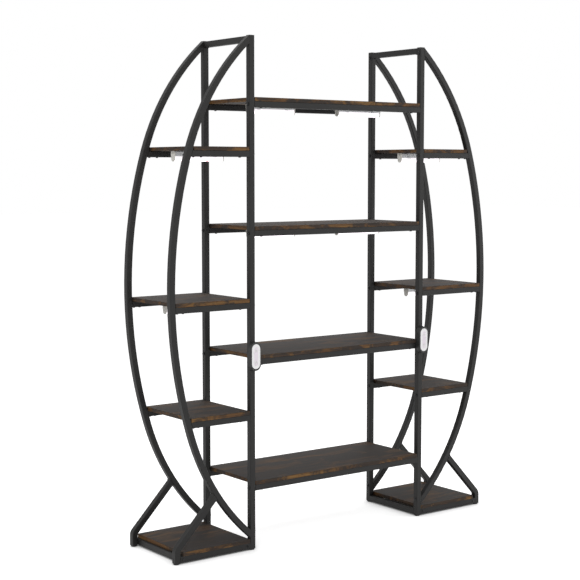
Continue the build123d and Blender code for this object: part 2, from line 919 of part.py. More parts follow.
def controller_sockets():
    low, high = controller_ends()
    inlet = socket(low, 1, inlet_radius, inlet_bore, inlet_pin)
    return [inlet, socket(high, -1, outlet_radius, outlet_bore, 0)]


def controller_screws():
    length = back_wall + controller_screw_reach
    return [
        frame_screw((post_x, controller_back - back_wall, height), (0, 1, 0), length)
        for height in controller_screw_heights
    ]


def build_frame():
    shapes = {-1: front_post(), 1: post()}
    arc_shape, leg_shape = arc(), leg()
    for side_x, side_y in corners():
        name = corner_name(side_x, side_y)
        write(f"post_{name}", [mirrored(shapes[side_y], side_x, side_y)])
        write(f"arc_{name}", [mirrored(arc_shape, side_x, side_y)])
        write(f"outer_leg_{name}", [mirrored(leg_shape, side_x, side_y)])
    middle = [mirrored(middle_rail(z), 1, side) for z in middle_rail_heights() for side in (-1, 1)]
    write("middle_shelf_rails", middle)
    for level, height in zip(shelf_levels, side_shelf_heights):
        write(f"side_shelf_rails_{level}", four(side_rail(height)))
    write("side_shelf_rails_bottom", four(bottom_rail()))
    write("crossbars", [copy for x, z in crossbar_places() for copy in pair(crossbar(x, z))])
    write("post_caps", four(post_cap()))


def build_boards():
    half = middle_board_half()
    for level, top in zip(shelf_levels, middle_shelf_heights):
        body = board(-half, half, top)
        if level in lit_levels:
            body = lit_board(body, (-light_spacing / 2, light_spacing / 2), top)
        write(f"middle_board_{level}", [body])
    for level, (low, high, top) in zip(shelf_levels, side_boards()):
        body = board(low, high, top)
        if level in lit_levels:
            body = lit_board(body, (side_light_x(top),), top)
        left, right = pair(body)
        write(f"side_board_{level}_left", [left])
        write(f"side_board_{level}_right", [right])


def build_fasteners():
    bolts = [copy for shape in corner_bolts() for copy in four(shape)]
    write("frame_bolts", bolts)
    plugs = [copy for shape in corner_plugs() for copy in four(shape)]
    write("threaded_plugs", plugs)
    write("leg_welds", four(leg_weld(1)) + four(leg_weld(-1)))
    spigots = [side_spigot(height) for height in side_shelf_heights]
    spigots += [bottom_spigot(post_face, 1), bottom_spigot(leg_x - half_tube, -1)]
    spigots += [crossbar_spigot(x, z) for x, z in crossbar_places()]
    write("tube_spigots", [copy for shape in spigots for copy in four(shape)])
    screws = [copy for shape in spigot_screws() for copy in four(shape)]
    screws += [copy for shape in controller_screws() for copy in pair(shape)]
    write("frame_screws", screws)
    write("board_screws", board_screws())


def board_screws():
    half = middle_board_half()
    screws = []
    for top in middle_shelf_heights:
        for x in board_screw_places(-half, half):
            screws += [mirrored(board_screw(x, top), 1, side) for side in (-1, 1)]
    for low, high, top in side_boards():
        for x in board_screw_places(low, high):
            screws += four(board_screw(x, top))
    return screws


def build_feet():
    for place, x in (("inner", post_x), ("outer", leg_x)):
        solids = foot(x)
        for side_x, side_y in corners():
            name = f"foot_{place}_{corner_name(side_x, side_y)}"
            write(name, [mirrored(solid, side_x, side_y) for solid in solids])
    write("foot_inserts", four(foot_insert(post_x)) + four(foot_insert(leg_x)))


def build_lights():
    write("light_housings", at_lights(light_housing()))
    write("light_led_boards", at_lights(led_board()))
    write("light_diffusers", at_lights(diffuser()))
    write("light_end_caps", at_lights(light_cap(-1)) + at_lights(light_cap(1)))
    write("light_clips", at_clips(light_clip()))
    write("light_clip_screws", at_clips(clip_screw()))


def build_controllers():
    write("controller_housings", pair(controller_housing()))
    write("controller_covers", pair(controller_cover()))
    write("controller_circuit_boards", pair(circuit_board()))
    write("controller_sockets", [copy for shape in controller_sockets() for copy in pair(shape)])
    for name, height in button_heights().items():
        left, right = pair(push_button(height))
        write(f"{name}_button_left", [left])
        write(f"{name}_button_right", [right])


os.makedirs("parts", exist_ok=True)
build_frame()
build_boards()
build_fasteners()
build_feet()
build_lights()
build_controllers()
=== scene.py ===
from math import pi, radians

import bmesh
import bpy
from mathutils import Matrix, Vector


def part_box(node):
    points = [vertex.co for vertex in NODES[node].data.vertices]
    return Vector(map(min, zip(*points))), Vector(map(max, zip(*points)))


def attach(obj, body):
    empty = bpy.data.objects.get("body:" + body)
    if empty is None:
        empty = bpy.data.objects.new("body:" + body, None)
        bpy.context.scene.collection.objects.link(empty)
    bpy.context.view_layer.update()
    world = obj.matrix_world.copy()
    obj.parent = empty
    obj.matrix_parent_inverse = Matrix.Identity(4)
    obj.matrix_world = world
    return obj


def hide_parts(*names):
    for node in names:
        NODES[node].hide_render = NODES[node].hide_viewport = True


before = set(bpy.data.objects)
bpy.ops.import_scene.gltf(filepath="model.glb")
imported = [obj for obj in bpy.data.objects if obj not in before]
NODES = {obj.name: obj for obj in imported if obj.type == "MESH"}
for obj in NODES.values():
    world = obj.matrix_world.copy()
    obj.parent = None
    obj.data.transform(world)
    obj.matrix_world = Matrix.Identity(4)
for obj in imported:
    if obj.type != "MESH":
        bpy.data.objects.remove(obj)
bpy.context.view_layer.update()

MM = 0.001
SMOOTH_ANGLE = radians(35)
# Corners of the CAD triangles that lie this near each other, in metres, are one corner.
SAME_CORNER = 1e-6

# Controller: its pale cover, the field printed on it, and the lines of the marks on its buttons
COVER_WIDTH = 31 * MM
FIELD_WIDTH = 14 * MM
FIELD_LENGTH = 58 * MM
MARK_RADIUS = 0.2 * MM

# Light bar: its milky cover, and the LEDs behind it with the room left at each end of the row
DIFFUSER_RADIUS = 8.7 * MM
DIFFUSER_WALL = 1.4 * MM
LEDS_PER_BAR = 18
LED_END_ROOM = 4 * MM

# Studio, in metres and strengths: FLOOR_LIFT is added to the floor where it is seen, and fades by ambient
# occlusion within
# FLOOR_SHADE of the stand, as painted shade round it. The sky lights the stand with SKY_LIGHT and is seen
# with SKY_SEEN, which is white.
FLOOR_SIZE = 60
FLOOR_LIFT = 0.70
FLOOR_SHADE = 0.12
SKY_LIGHT = 0.40
SKY_SEEN = 1.0

# Camera, solved from the photograph: metres, degrees, and a lens in mm for a sensor 36 mm wide
FRAME_MIDDLE_Y = (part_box("post_front_left")[0][1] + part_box("post_rear_left")[1][1]) / 2
CAMERA_PLACE = (-2.7661, -3.5500 + FRAME_MIDDLE_Y, 1.1893)
CAMERA_DOWN = 5.038
CAMERA_ROUND = -36.866
CAMERA_LENS = 84.25
CAMERA_SENSOR = 36


# Materials

def linear(hex_colour):
    """sRGB hex to the linear colour that a shader socket takes."""
    channels = [int(hex_colour[i:i + 2], 16) / 255 for i in (1, 3, 5)]
    return [c / 12.92 if c <= 0.04045 else ((c + 0.055) / 1.055) ** 2.4 for c in channels] + [1.0]


def add(tree, kind, sockets=(), stops=(), **settings):
    """Adds one shader node, with its settings, its colour stops, and a value or a link for each socket."""
    made = tree.nodes.new(kind)
    for name, value in settings.items():
        setattr(made, name, value)
    for index, (place, colour) in enumerate(stops):
        stop = made.color_ramp.elements[index] if index < 2 else made.color_ramp.elements.new(place)
        stop.position = place
        stop.color = colour
    for socket, value in sockets:
        if isinstance(value, bpy.types.NodeSocket):
            tree.links.new(value, made.inputs[socket])
        else:
            made.inputs[socket].default_value = value
    return made


def new_material(name):
    """Empty material with a Principled surface: (material, node tree, shader, object coordinates)."""
    material = bpy.data.materials.new(name)
    material.use_nodes = True
    tree = material.node_tree
    tree.nodes.clear()
    shader = add(tree, "ShaderNodeBsdfPrincipled")
    add(tree, "ShaderNodeOutputMaterial", [("Surface", shader.outputs[0])])
    place = add(tree, "ShaderNodeTexCoord").outputs["Object"]
    return material, tree, shader, place


def finish(tree, shader, colour, gloss, bump):
    """Links a material's colour, roughness and bump to its shader."""
    for socket, output in (("Base Color", colour), ("Roughness", gloss), ("Normal", bump)):
        tree.links.new(output, shader.inputs[socket])


def per_mm(size):
    """Texture scale at which one cell of a pattern is this many millimetres, on coordinates in metres."""
    return 1000 / size


def powder_coat():
    """Polyester powder coat on steel tube: satin black with a faint orange peel and soft, wide highlights."""
    material, tree, shader, place = new_material("black_powder_coat")
    drift = add(tree, "ShaderNodeTexNoise", [("Vector", place), ("Scale", per_mm(90)), ("Detail", 3.0)])
    colour = add(
        tree, "ShaderNodeValToRGB", [(0, drift.outputs["Fac"])],
        stops=((0.35, linear("#0b0a09")), (0.65, linear("#131211"))),
    )
    # A real orange peel is about 1 mm; 2.2 mm is the finest that shows in the render.
    peel = add(tree, "ShaderNodeTexNoise", [("Vector", place), ("Scale", per_mm(2.2)), ("Detail", 2.0)])
    gloss = add(
        tree, "ShaderNodeMapRange",
        [("Value", peel.outputs["Fac"]), ("To Min", 0.46), ("To Max", 0.62)],
    )
    bump = add(
        tree, "ShaderNodeBump",
        [("Height", peel.outputs["Fac"]), ("Strength", 0.14), ("Distance", 0.0003)],
    )
    finish(tree, shader, colour.outputs[0], gloss.outputs[0], bump.outputs[0])
    shader.inputs["IOR"].default_value = 1.4
    return material


def rustic_board():
    """Melamine-faced chipboard with a rustic brown oak print: satin, dark brown, with rust-brown
    patches, long grain streaks and short saw marks across the grain. Its edging has the same print."""
    material, tree, shader, place = new_material("rustic_brown_board")
    squarely = 0.6  # a face looks along an axis where its normal's share of it is at least this
    normal = add(tree, "ShaderNodeNewGeometry").outputs["Normal"]
    facing = add(tree, "ShaderNodeSeparateXYZ", [(0, normal)])
    x_size = add(tree, "ShaderNodeMath", [(0, facing.outputs["X"])], operation="ABSOLUTE")
    on_end = add(tree, "ShaderNodeMath", [(0, x_size.outputs[0]), (1, squarely)], operation="GREATER_THAN")
    z_size = add(tree, "ShaderNodeMath", [(0, facing.outputs["Z"])], operation="ABSOLUTE")
    on_edge = add(tree, "ShaderNodeMath", [(0, z_size.outputs[0]), (1, squarely)], operation="LESS_THAN")
    # The end bands' grain runs along the band, so there the pattern is turned a quarter.
    parts = add(tree, "ShaderNodeSeparateXYZ", [(0, place)])
    turned = add(
        tree, "ShaderNodeCombineXYZ",
        [("X", parts.outputs["Y"]), ("Y", parts.outputs["X"]), ("Z", parts.outputs["Z"])],
    )
    # A Mix node's sockets: 2 and 3 are its numbers, 4 and 5 its vectors, 6 and 7 its colours.
    along = add(
        tree, "ShaderNodeMix", [(0, on_end.outputs[0]), (4, place), (5, turned.outputs[0])],
        data_type="VECTOR",
    ).outputs[1]

    def pattern(length, width, detail, roughness=0.55, distortion=0.0):
        """Noise whose cells are this long along the grain and this wide across it, in millimetres."""
        scale = (per_mm(length), per_mm(width), per_mm(width))
        placed = add(tree, "ShaderNodeMapping", [("Vector", along), ("Scale", scale)])
        noise = add(
            tree, "ShaderNodeTexNoise",
            [("Vector", placed.outputs[0]), ("Scale", 1.0), ("Detail", detail),
             ("Roughness", roughness), ("Distortion", distortion)],
        )
        return noise.outputs["Fac"]

    streaks = pattern(230, 9, 5.0, 0.6, 0.3)
    fine_grain = pattern(70, 2.4, 3.0)
    patches = pattern(150, 50, 3.0, 0.5, 0.6)
    edge_patches = pattern(75, 40, 4.0, 0.62, 0.8)
    saw_marks = pattern(6, 45, 3.0, 0.7, 0.4)
    saw_places = pattern(120, 50, 2.0)

    ground = add(
        tree, "ShaderNodeValToRGB", [(0, streaks)],
        stops=((0.30, linear("#15100d")), (0.72, linear("#3e3028")), (0.52, linear("#271f1a"))),
    )
    rust = add(
        tree, "ShaderNodeValToRGB", [(0, streaks)],
        stops=((0.28, linear("#342414")), (0.70, linear("#886738")), (0.50, linear("#624323"))),
    )
    patch_on_face = add(
        tree, "ShaderNodeMapRange",
        [("Value", patches), ("From Min", 0.50), ("From Max", 0.70), ("To Max", 0.60)],
    )
    patch_on_edge = add(
        tree, "ShaderNodeMapRange",
        [("Value", edge_patches), ("From Min", 0.47), ("From Max", 0.58),
         ("To Min", 0.08), ("To Max", 1.0)],
    )
    patch = add(
        tree, "ShaderNodeMix",
        [(0, on_edge.outputs[0]), (2, patch_on_face.outputs[0]), (3, patch_on_edge.outputs[0])],
    )
    two_tone = add(
        tree, "ShaderNodeMix", [(0, patch.outputs[0]), (6, ground.outputs[0]), (7, rust.outputs[0])],
        data_type="RGBA",
    )
    saw_line = add(
        tree, "ShaderNodeMapRange",
        [("Value", saw_marks), ("From Min", 0.52), ("From Max", 0.66), ("To Max", 0.75)],
    )
    saw_area = add(
        tree, "ShaderNodeMapRange", [("Value", saw_places), ("From Min", 0.48), ("From Max", 0.62)],
    )
    sawn = add(
        tree, "ShaderNodeMath", [(0, saw_line.outputs[0]), (1, saw_area.outputs[0])], operation="MULTIPLY",
    )
    marked = add(
        tree, "ShaderNodeMix",
        [(0, sawn.outputs[0]), (6, two_tone.outputs[2]), (7, linear("#2a1d14"))], data_type="RGBA",
    )
    grain_shade = add(
        tree, "ShaderNodeMapRange",
        [("Value", fine_grain), ("From Min", 0.35), ("From Max", 0.65), ("To Min", 0.72), ("To Max", 1.12)],
    )
    shaded = add(
        tree, "ShaderNodeVectorMath",
        [(0, marked.outputs[2]), ("Scale", grain_shade.outputs[0])], operation="SCALE",
    )
    gloss = add(
        tree, "ShaderNodeMapRange", [("Value", streaks), ("To Min", 0.64), ("To Max", 0.80)],
    )
    bump = add(
        tree, "ShaderNodeBump", [("Height", fine_grain), ("Strength", 0.25), ("Distance", 0.0003)],
    )
    finish(tree, shader, shaded.outputs[0], gloss.outputs[0], bump.outputs[0])
    shader.inputs["IOR"].default_value = 1.4
    return material


def moulded(name, low, high, rough, grit, depth, **values):
    """Moulded or coated surface: a slow drift from the low colour to the high one, and a grit of this many
    millimetres, this deep, that spreads the roughness. The other values go to the shader's own sockets."""
    material, tree, shader, place = new_material(name)
    drift = add(tree, "ShaderNodeTexNoise", [("Vector", place), ("Scale", per_mm(35)), ("Detail", 2.0)])
    colour = add(
        tree, "ShaderNodeValToRGB", [(0, drift.outputs["Fac"])],
        stops=((0.3, linear(low)), (0.7, linear(high))),
    )
    texture = add(
        tree, "ShaderNodeTexNoise", [("Vector", place), ("Scale", per_mm(grit)), ("Detail", 3.0)],
    )
    gloss = add(
        tree, "ShaderNodeMapRange",
        [("Value", texture.outputs["Fac"]), ("To Min", rough[0]), ("To Max", rough[1])],
    )
    bump = add(
        tree, "ShaderNodeBump",
        [("Height", texture.outputs["Fac"]), ("Strength", 0.3), ("Distance", depth * MM)],
    )
    finish(tree, shader, colour.outputs[0], gloss.outputs[0], bump.outputs[0])
    for socket, value in values.items():
        shader.inputs[socket].default_value = value
    return material


def abs_housing():
    """Black ABS with a spark-eroded mould face: dull, with no clear reflections."""
    return moulded("black_abs", "#131313", "#1a1a19", rough=(0.52, 0.68), grit=0.9, depth=0.12, IOR=1.53)


def polyethylene_cap():
    """Black low-density polyethylene: waxy and a little softer in gloss than the tube."""
    return moulded(
        "black_polyethylene", "#141413", "#1c1b1a", rough=(0.48, 0.62), grit=3.0, depth=0.08, IOR=1.51,
    )


def rubber_pad():
    """Vulcanised rubber: nearly black, very matt, with a dusty bloom."""
    return moulded(
        "black_rubber_pad", "#141414", "#1f1e1d", rough=(0.78, 0.92), grit=1.5, depth=0.2, IOR=1.52,
    )


def cover_plastic():
    """Milky polycarbonate cover of a light bar that is off: satin, with a soft sheen."""
    return moulded("pale_pc_abs", "#e9e6e8", "#f2eff1", rough=(0.30, 0.40), grit=0.8, depth=0.05, IOR=1.57)


def printed_cover_plastic():
    """Pale satin face plate of a controller, with a pale lilac field printed on it behind the buttons: the
    ink is flatter than the plastic, so the field also reads in the sheen."""
    material, tree, shader, place = new_material("printed_pc_abs")
    ink_roughness = 0.2  # how much rougher the ink is
    low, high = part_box("controller_covers")
    middle_x, middle_z = high[0] - COVER_WIDTH / 2, (low[2] + high[2]) / 2
    parts = add(tree, "ShaderNodeSeparateXYZ", [(0, place)])
    # Both controllers stand at the same distance from the middle, so one field serves both.
    beside = add(tree, "ShaderNodeMath", [(0, parts.outputs["X"])], operation="ABSOLUTE")
    across = add(tree, "ShaderNodeMath", [(0, beside.outputs[0]), (1, middle_x)], operation="SUBTRACT")
    along = add(tree, "ShaderNodeMath", [(0, parts.outputs["Z"]), (1, middle_z)], operation="SUBTRACT")
    far = add(tree, "ShaderNodeMath", [(0, along.outputs[0])], operation="ABSOLUTE")
    straight = (FIELD_LENGTH - FIELD_WIDTH) / 2
    past = add(tree, "ShaderNodeMath", [(0, far.outputs[0]), (1, straight)], operation="SUBTRACT")
    end = add(tree, "ShaderNodeMath", [(0, past.outputs[0]), (1, 0.0)], operation="MAXIMUM")
    reach = add(tree, "ShaderNodeCombineXYZ", [("X", across.outputs[0]), ("Y", end.outputs[0])])
    away = add(tree, "ShaderNodeVectorMath", [(0, reach.outputs[0])], operation="LENGTH")
    inked = add(
        tree, "ShaderNodeMath", [(0, away.outputs["Value"]), (1, FIELD_WIDTH / 2)],
        operation="LESS_THAN",
    )
    drift = add(tree, "ShaderNodeTexNoise", [("Vector", place), ("Scale", per_mm(35)), ("Detail", 2.0)])
    plastic = add(
        tree, "ShaderNodeValToRGB", [(0, drift.outputs["Fac"])],
        stops=((0.3, linear("#f7f6f7")), (0.7, linear("#fcfbfc"))),
    )
    ink = add(
        tree, "ShaderNodeValToRGB", [(0, drift.outputs["Fac"])],
        stops=((0.3, linear("#f0e6f0")), (0.7, linear("#f4ecf4"))),
    )
    colour = add(
        tree, "ShaderNodeMix", [(0, inked.outputs[0]), (6, plastic.outputs[0]), (7, ink.outputs[0])],
        data_type="RGBA",
    )
    grain = add(tree, "ShaderNodeTexNoise", [("Vector", place), ("Scale", per_mm(0.8)), ("Detail", 3.0)])
    satin = add(
        tree, "ShaderNodeMapRange", [("Value", grain.outputs["Fac"]), ("To Min", 0.28), ("To Max", 0.38)],
    )
    flat = add(tree, "ShaderNodeMath", [(0, inked.outputs[0]), (1, ink_roughness)], operation="MULTIPLY")
    gloss = add(tree, "ShaderNodeMath", [(0, satin.outputs[0]), (1, flat.outputs[0])], operation="ADD")
    tree.links.new(colour.outputs[2], shader.inputs["Base Color"])
    tree.links.new(gloss.outputs[0], shader.inputs["Roughness"])
    shader.inputs["IOR"].default_value = 1.57
    return material


def button_plastic():
    """White ABS key cap: glossier than the plate round it."""
    return moulded("white_abs_key", "#efeded", "#f6f4f4", rough=(0.20, 0.28), grit=1.2, depth=0.03, IOR=1.53)


def printed_mark():
    """Grey pad-printing ink on a key cap: flat and matt."""
    return moulded("grey_ink", "#a3a0a5", "#b0adb1", rough=(0.55, 0.70), grit=0.6, depth=0.02)


def end_cap_plastic():
    """White nylon end cap of a light bar: slightly yellow beside its cover, satin."""
    return moulded("white_nylon", "#dedcd4", "#e8e6df", rough=(0.35, 0.48), grit=1.0, depth=0.06, IOR=1.53)


def circuit_laminate(name, low, high):
    """Glass-epoxy board under a solder mask: glossy lacquer, faintly uneven over the glass cloth."""
    return moulded(name, low, high, rough=(0.22, 0.34), grit=0.5, depth=0.02, IOR=1.55)


def anodised_aluminium():
    """Extruded and anodised 6063 aluminium: pale grey, with fine die lines along its length."""
    material, tree, shader, place = new_material("anodised_aluminium")
    # Die lines are about 0.1 mm apart; 0.8 mm is the finest that shows.
    line_scale = (per_mm(120), per_mm(0.8), per_mm(0.8))
    lines = add(tree, "ShaderNodeMapping", [("Vector", place), ("Scale", line_scale)])
    grain = add(tree, "ShaderNodeTexNoise", [("Vector", lines.outputs[0]), ("Scale", 1.0), ("Detail", 3.0)])
    colour = add(
        tree, "ShaderNodeValToRGB", [(0, grain.outputs["Fac"])],
        stops=((0.3, linear("#c3c4c6")), (0.7, linear("#d9dadb"))),
    )
    gloss = add(
        tree, "ShaderNodeMapRange", [("Value", grain.outputs["Fac"]), ("To Min", 0.42), ("To Max", 0.58)],
    )
    bump = add(
        tree, "ShaderNodeBump", [("Height", grain.outputs["Fac"]), ("Strength", 0.15), ("Distance", 0.0001)],
    )
    finish(tree, shader, colour.outputs[0], gloss.outputs[0], bump.outputs[0])
    shader.inputs["Metallic"].default_value = 1.0
    return material


def zinc_plate():
    """Bright zinc plate on turned steel: cool grey with a faint mottle."""
    return moulded(
        "zinc_plated_steel", "#b4b5b2", "#cfd0cd", rough=(0.26, 0.42), grit=1.5, depth=0.05, Metallic=1.0,
    )


def black_oxide():
    """Black oxide on screw steel: dark grey metal with a thin film of oil."""
    return moulded(
        "black_oxide_steel", "#2a2a2b", "#3a3a3b", rough=(0.34, 0.50), grit=1.2, depth=0.05, Metallic=0.85,
    )


def weld_steel():
    """Weld metal under the same powder coat: even ripples across the bead, glossier on their tops."""
    material, tree, shader, place = new_material("coated_weld")
    # A Wave texture repeats every pi / 10 of its scaled place, so these ripples are 1.6 mm apart.
    ripple_scale = per_mm(1.6) * pi / 10
    ripples = add(
        tree, "ShaderNodeTexWave",
        [("Vector", place), ("Scale", ripple_scale), ("Distortion", 1.5), ("Detail", 1.0)],
        bands_direction="Y",
    )
    colour = add(
        tree, "ShaderNodeValToRGB", [(0, ripples.outputs["Fac"])],
        stops=((0.2, linear("#0e0d0c")), (0.8, linear("#191816"))),
    )
    gloss = add(
        tree, "ShaderNodeMapRange", [("Value", ripples.outputs["Fac"]), ("To Min", 0.58), ("To Max", 0.40)],
    )
    bump = add(
        tree, "ShaderNodeBump", [("Height", ripples.outputs["Fac"]), ("Strength", 0.6), ("Distance", 0.0003)],
    )
    finish(tree, shader, colour.outputs[0], gloss.outputs[0], bump.outputs[0])
    shader.inputs["IOR"].default_value = 1.4
    return material


def lit_diffuser(pitch):
    """Frosted polycarbonate with the lamps on: an even white glow, a brighter spot under each LED, and
    every fifth spot red, as on a full-spectrum plant light. The cover's attribute gives the place in mm
    along the LEDs, across them and up from the cover's bottom; pitch is the LEDs' spacing in mm."""
    material, tree, shader, place = new_material("lit_polycarbonate_diffuser")
    red_every, red_is = 5.0, 2.0
    spot_place = add(tree, "ShaderNodeAttribute", attribute_name="strip_place").outputs["Vector"]
    split = add(tree, "ShaderNodeSeparateXYZ", [(0, spot_place)])
    steps = add(tree, "ShaderNodeMath", [(0, split.outputs["X"]), (1, pitch)], operation="DIVIDE")
    which = add(tree, "ShaderNodeMath", [(0, steps.outputs[0])], operation="FLOOR")
    within = add(tree, "ShaderNodeMath", [(0, steps.outputs[0])], operation="FRACT")
    centred = add(tree, "ShaderNodeMath", [(0, within.outputs[0]), (1, 0.5)], operation="SUBTRACT")
    beside = add(tree, "ShaderNodeMath", [(0, centred.outputs[0]), (1, pitch)], operation="MULTIPLY")
    reach = add(tree, "ShaderNodeCombineXYZ", [("X", beside.outputs[0]), ("Y", split.outputs["Y"])])
    away = add(tree, "ShaderNodeVectorMath", [(0, reach.outputs[0])], operation="LENGTH")
    spot = add(
        tree, "ShaderNodeMapRange",
        [("Value", away.outputs["Value"]), ("From Min", 2.0), ("From Max", 7.5),
         ("To Min", 1.0), ("To Max", 0.0)],
        interpolation_type="SMOOTHSTEP",
    )
    in_group = add(tree, "ShaderNodeMath", [(0, which.outputs[0]), (1, red_every)], operation="MODULO")
    is_red = add(
        tree, "ShaderNodeMath", [(0, in_group.outputs[0]), (1, red_is), (2, 0.5)], operation="COMPARE",
    )
    red_spot = add(
        tree, "ShaderNodeMath", [(0, spot.outputs[0]), (1, is_red.outputs[0])], operation="MULTIPLY",
    )
    glow = add(
        tree, "ShaderNodeMix",
        [(0, red_spot.outputs[0]), (6, linear("#fbf3fa")), (7, linear("#ff5f7c"))], data_type="RGBA",
    )
    # The cover is brightest round its lower half and fades up to the housing's lips.
    base = add(
        tree, "ShaderNodeMapRange",
        [("Value", split.outputs["Z"]), ("From Min", 6.0), ("From Max", 13.0),
         ("To Min", 1.5), ("To Max", 0.7)],
    )
    spot_gain = add(
        tree, "ShaderNodeMapRange", [("Value", spot.outputs[0]), ("To Min", 1.0), ("To Max", 1.9)],
    )
    # A red spot is dimmer than a white one, or it would burn out to white.
    red_dim = add(
        tree, "ShaderNodeMapRange", [("Value", red_spot.outputs[0]), ("To Min", 1.0), ("To Max", 0.35)],
    )
    gain = add(
        tree, "ShaderNodeMath", [(0, spot_gain.outputs[0]), (1, red_dim.outputs[0])], operation="MULTIPLY",
    )
    power = add(
        tree, "ShaderNodeMath", [(0, base.outputs[0]), (1, gain.outputs[0])], operation="MULTIPLY",
    )
    frost = add(tree, "ShaderNodeTexNoise", [("Vector", place), ("Scale", per_mm(1.0)), ("Detail", 2.0)])
    bump = add(
        tree, "ShaderNodeBump", [("Height", frost.outputs["Fac"]), ("Strength", 0.2), ("Distance", 0.0001)],
    )
    tree.links.new(glow.outputs[2], shader.inputs["Emission Color"])
    tree.links.new(power.outputs[0], shader.inputs["Emission Strength"])
    tree.links.new(bump.outputs[0], shader.inputs["Normal"])
    shader.inputs["Base Color"].default_value = linear("#efecec")
    shader.inputs["Roughness"].default_value = 0.45
    shader.inputs["IOR"].default_value = 1.58
    return material


def dress_cad_nodes(oxide, zinc, rubber):
    """Gives every CAD node the finish of the longest start of a name that fits it."""
    coat, board = powder_coat(), rustic_board()
    cap, abs_black, alloy = polyethylene_cap(), abs_housing(), anodised_aluminium()
    led_board = circuit_laminate("white_led_board", "#dcdcd8", "#e6e6e2")
    controller_board = circuit_laminate("green_circuit_board", "#12502c", "#1a6338")
    finishes = {
        "post": coat, "arc": coat, "outer_leg": coat, "crossbars": coat, "tube_spigots": coat,
        "middle_shelf_rails": coat, "side_shelf_rails": coat,
        "middle_board": board, "side_board": board,
        "post_caps": cap, "foot_inserts": cap, "foot_inner": rubber, "foot_outer": rubber,
        "frame_bolts": oxide, "frame_screws": oxide, "board_screws": oxide,
        "threaded_plugs": zinc, "leg_welds": weld_steel(), "light_clip_screws": zinc,
        "light_housings": alloy, "light_clips": alloy, "light_end_caps": end_cap_plastic(),
        "light_diffusers": cover_plastic(), "light_led_boards": led_board,
        "controller_housings": abs_black, "controller_sockets": abs_black,
        "controller_covers": printed_cover_plastic(), "controller_circuit_boards": controller_board,
        "power_button": button_plastic(), "timer_button": button_plastic(),
    }
    for name, node in NODES.items():
        key = max([start for start in finishes if name.startswith(start)], key=len)
        for slot in node.material_slots:
            slot.material = finishes[key]


# Modelling helpers

def start_clean():
    """Leaves edit mode and deselects everything, before a new piece."""
    if bpy.context.object and bpy.context.object.mode != "OBJECT":
        bpy.ops.object.mode_set(mode="OBJECT")
    bpy.ops.object.select_all(action="DESELECT")


def settle(piece, name):
    """Names a piece, puts its place into its mesh and shades it."""
    start_clean()
    piece.select_set(True)
    bpy.context.view_layer.objects.active = piece
    bpy.ops.object.transform_apply(location=True, rotation=True, scale=True)
    bpy.ops.object.shade_smooth_by_angle(angle=SMOOTH_ANGLE)
    piece.name = name
    piece.data.name = name
    return piece


def select_faces(piece, test):
    """In edit mode, selects only the faces that pass the test."""
    bpy.ops.mesh.select_mode(type="FACE")
    bpy.ops.mesh.select_all(action="DESELECT")
    mesh = bmesh.from_edit_mesh(piece.data)
    for face in mesh.faces:
        face.select_set(test(face))
    bmesh.update_edit_mesh(piece.data)


def turned_piece(name, x, y, rings, sides):
    """Piece turned about an upright axis: a disc drawn up through rings of (radius, height)."""
    start_clean()
    first_radius, first_height = rings[0]
    bpy.ops.mesh.primitive_circle_add(
        vertices=sides, radius=first_radius, fill_type="NGON", location=(x, y, first_height),
    )
    piece = bpy.context.object
    bpy.ops.object.mode_set(mode="EDIT")
    bpy.ops.mesh.select_all(action="SELECT")
    radius, height = first_radius, first_height
    for next_radius, next_height in rings[1:]:
        bpy.ops.mesh.extrude_region_move(TRANSFORM_OT_translate={"value": (0, 0, next_height - height)})
        if next_radius != radius:
            scale = next_radius / radius
            bpy.ops.transform.resize(value=(scale, scale, 1))
        radius, height = next_radius, next_height
    bpy.ops.mesh.select_all(action="SELECT")
    bpy.ops.mesh.normals_make_consistent(inside=False)
    bpy.ops.object.mode_set(mode="OBJECT")
    return settle(piece, name)


def copies(model, name, places, material):
    """One object holding a copy of the model's mesh at every place, each place a matrix."""
    mesh = bpy.data.meshes.new(name)
    gathered = bmesh.new()
    for place in places:
        one = model.data.copy()
        one.transform(place)
        gathered.from_mesh(one)
        bpy.data.meshes.remove(one)
    gathered.to_mesh(mesh)
    gathered.free()
    piece = bpy.data.objects.new(name, mesh)
    bpy.context.scene.collection.objects.link(piece)
    mesh.materials.append(material)
    return settle(piece, name)


def discard(model):
    """Deletes a model once its copies are made."""
    bpy.data.objects.remove(model, do_unlink=True)


def loose_parts(node):
    """Lists of the corners of each separate solid of a CAD node, read from a merged copy."""
    mesh = bmesh.new()
    mesh.from_mesh(NODES[node].data)
    bmesh.ops.remove_doubles(mesh, verts=mesh.verts, dist=SAME_CORNER)
    mesh.verts.ensure_lookup_table()
    seen, parts = set(), []
    for start in mesh.verts:
        if start.index in seen:
            continue
        seen.add(start.index)
        reached, points = [start], []
        while reached:
            vertex = reached.pop()
            points.append(vertex.co.copy())
            for edge in vertex.link_edges:
                other = edge.other_vert(vertex)
                if other.index not in seen:
                    seen.add(other.index)
                    reached.append(other)
        parts.append(points)
    mesh.free()
    return parts


def corner_box(points):
    """Lowest and highest corner of the box round these points."""
    return [Vector([pick(point[i] for point in points) for i in range(3)]) for pick in (min, max)]


def screw_places(node):
    """Matrices of a CAD node's screws by their length in mm: origin on the head's top, +Z out of it."""
    places = {}
    for points in loose_parts(node):
        low, high = corner_box(points)
        size = high - low
        axis = max(range(3), key=lambda i: size[i])
        across = (axis + 1) % 3
        middle = (low + high) / 2
        widest = max(points, key=lambda p: abs(p[across] - middle[across]))
        up = Vector((0, 0, 0))
        up[axis] = 1 if widest[axis] > middle[axis] else -1
        top = middle.copy()
        top[axis] = high[axis] if up[axis] > 0 else low[axis]
        place = Matrix.Translation(top) @ up.to_track_quat("Z", "Y").to_matrix().to_4x4()
        places.setdefault(round(size[axis] / MM, 1), []).append(place)
    return places


# Screws

